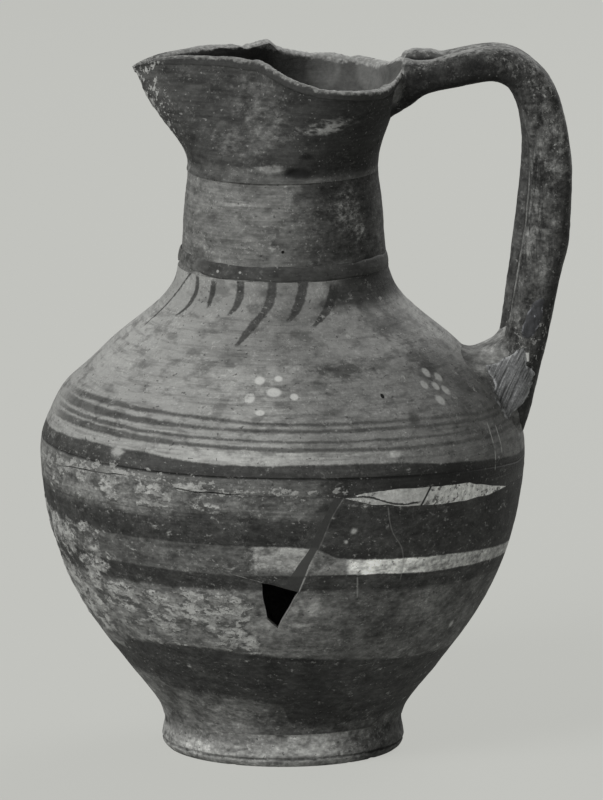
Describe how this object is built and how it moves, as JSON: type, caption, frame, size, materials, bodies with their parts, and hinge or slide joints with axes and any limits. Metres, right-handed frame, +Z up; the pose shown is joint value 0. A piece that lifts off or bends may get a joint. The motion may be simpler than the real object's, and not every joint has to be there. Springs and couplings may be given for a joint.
{
  "type": "oinochoe jug",
  "caption": "Wheel-made clay jug with a trefoil mouth, tall neck, round body, low ring foot and a high handle of clay rolls, mended after breaks.",
  "frame": {"origin": "centre of the foot's resting ring, on the surface that the jug stands on", "axes": "+Z up the vessel's axis; -X towards the spout; +X towards the handle; -Y is the front, with the mended breaks"},
  "size_m": [0.2226, 0.2034, 0.2986],
  "materials": {
    "foot_clay": "matt fired clay, rubbed and mottled",
    "bowl_clay": "matt fired clay with dark painted bands and pale lime crust",
    "shoulder_clay": "matt fired clay with painted tongues, lines and bands",
    "sherd_clay": "matt fired clay with dark painted bands",
    "toned_fill": "smooth toned filling",
    "pale_fill": "grainy pale filling",
    "neck_clay": "dark slip with a dull sheen, rubbed",
    "ring_clay": "dark slip with small white dots",
    "mouth_clay": "dark slip with a dull sheen, rim chipped to pale clay",
    "handle_clay": "dark slip with a dull sheen, speckled white along the edges",
    "root_clay": "rough pale clay",
    "rough_plaster": "striated grey plaster"
  },
  "bodies": {
    "root": {"foot": "foot_clay", "lower_body": "bowl_clay", "upper_body": "shoulder_clay", "belly_sherd_upper": "sherd_clay", "belly_sherd_right": "sherd_clay", "belly_fill_strip": "toned_fill", "belly_crack_fill": "pale_fill", "neck": "neck_clay", "neck_ring": "ring_clay", "mouth": "mouth_clay", "handle_roll_near": "handle_clay", "handle_roll_far": "handle_clay", "handle_root_clay": "root_clay", "handle_plaster_patch": "rough_plaster"}
  },
  "joints": []
}
